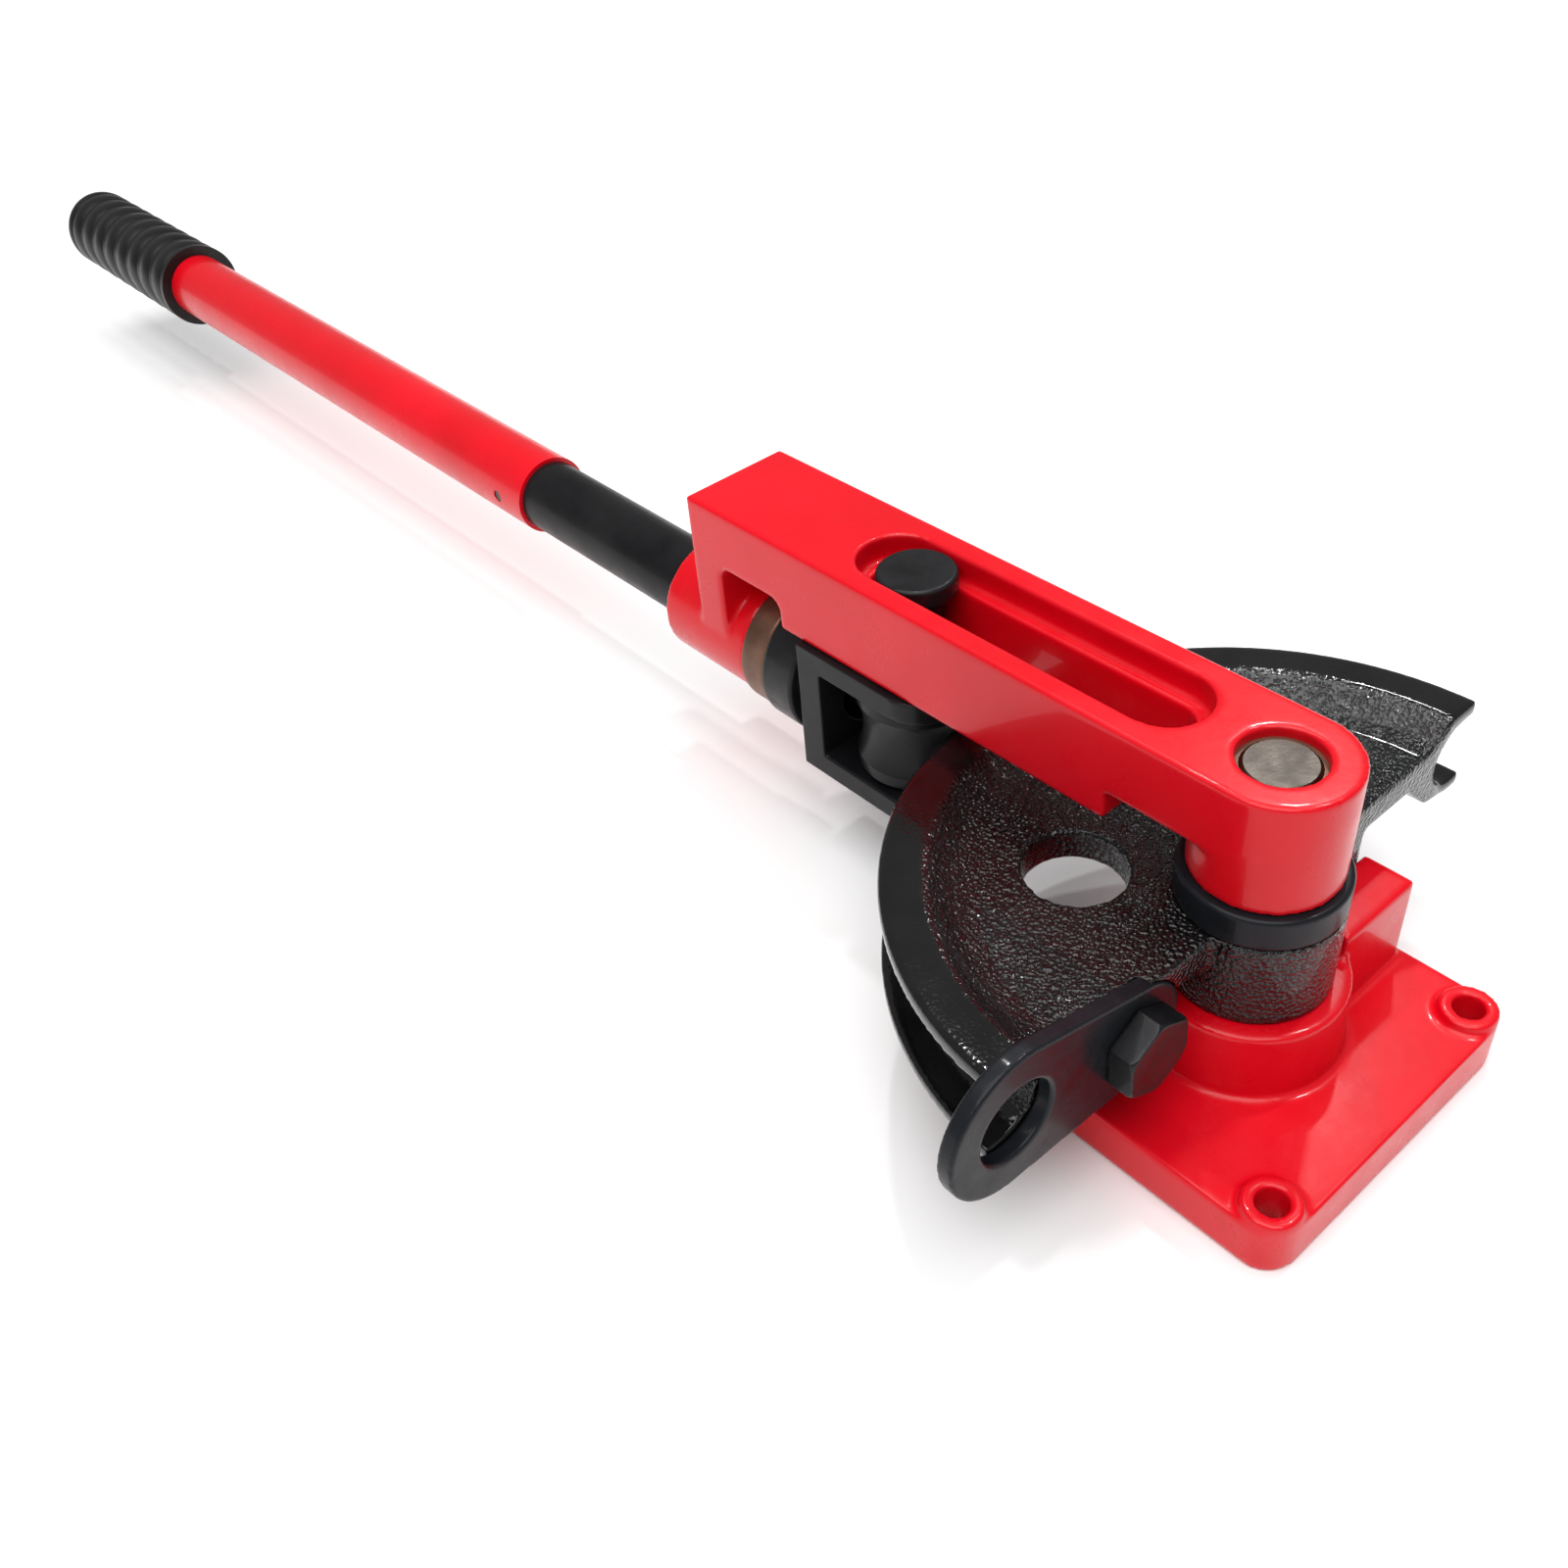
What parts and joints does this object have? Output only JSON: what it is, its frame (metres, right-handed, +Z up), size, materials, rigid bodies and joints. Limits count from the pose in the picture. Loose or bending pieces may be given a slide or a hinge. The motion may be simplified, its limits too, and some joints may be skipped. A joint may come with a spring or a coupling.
{
  "type": "manual tube bender",
  "caption": "Bench-bolted manual tube bender: half-round forming die on a base, and a long-handled arm with a screw-adjusted roller that swings round the die.",
  "frame": {"origin": "centre of the base's four bolt holes, on the underside of the base, which is also the arm's pivot axis", "axes": "+Z up along the pivot axis, X along the arm at rest with the handle towards -X, +Y towards the side where a bend ends"},
  "size_m": [1.044, 0.2685, 0.139],
  "materials": {
    "red_enamel": "gloss",
    "black_casting": "gloss over rough casting",
    "black_plate": "satin",
    "black_satin": "satin",
    "black_oxide": "black oxide",
    "bright_steel": "machined",
    "bronze": "oiled bronze",
    "grip_rubber": "matte"
  },
  "bodies": {
    "base": {"base_casting": "red_enamel", "pivot_pin": "bright_steel", "pivot_grub_screw": "black_oxide", "forming_die": "black_casting", "eye_plate": "black_plate", "eye_plate_bolt": "black_oxide", "spacer_ring": "black_plate"},
    "arm": {"swing_arm": "red_enamel", "upper_pivot_bush": "bronze", "lower_pivot_bush": "bronze", "bronze_nut": "bronze", "nut_grub_screw": "black_oxide"},
    "yoke": {"roller_yoke": "black_satin", "thrust_washer": "bronze", "lower_roller_washer": "bright_steel", "upper_roller_washer": "bright_steel"},
    "handle": {"screw_spindle": "black_satin", "thrust_collar": "black_oxide", "collar_roll_pin": "bright_steel", "spindle_circlip": "bright_steel", "handle_tube": "red_enamel", "handle_cross_pin": "bright_steel", "handle_grip": "grip_rubber"},
    "roller": {"roller": "black_satin", "roller_bush": "bronze"},
    "roller_pin": {"roller_pin": "black_oxide"}
  },
  "joints": [
    {"name": "arm_swing", "type": "hinge", "parent": "base", "child": "arm", "pos_m": [0, 0, 0.11], "axis": [0, 0, 1], "range_deg": [-110, 72]},
    {"name": "yoke_slide", "type": "slide", "parent": "arm", "child": "yoke", "axis": [1, 0, 0], "range_m": [0, 0.003]},
    {"name": "handle_turn", "type": "hinge", "parent": "yoke", "child": "handle", "pos_m": [-0.205, 0, 0.071], "axis": [1, 0, 0], "range_deg": [0, 360]},
    {"name": "roller_spin", "type": "hinge", "parent": "yoke", "child": "roller", "pos_m": [-0.155, 0, 0.071], "axis": [0, 0, 1], "continuous": true},
    {"name": "roller_pin_lift", "type": "slide", "parent": "yoke", "child": "roller_pin", "axis": [0, 0, 1], "range_m": [0, 0.1]}
  ],
  "couplings": [
    {"joint": "handle_turn", "follows": "yoke_slide", "rad_per_m": 2094.4}
  ]
}
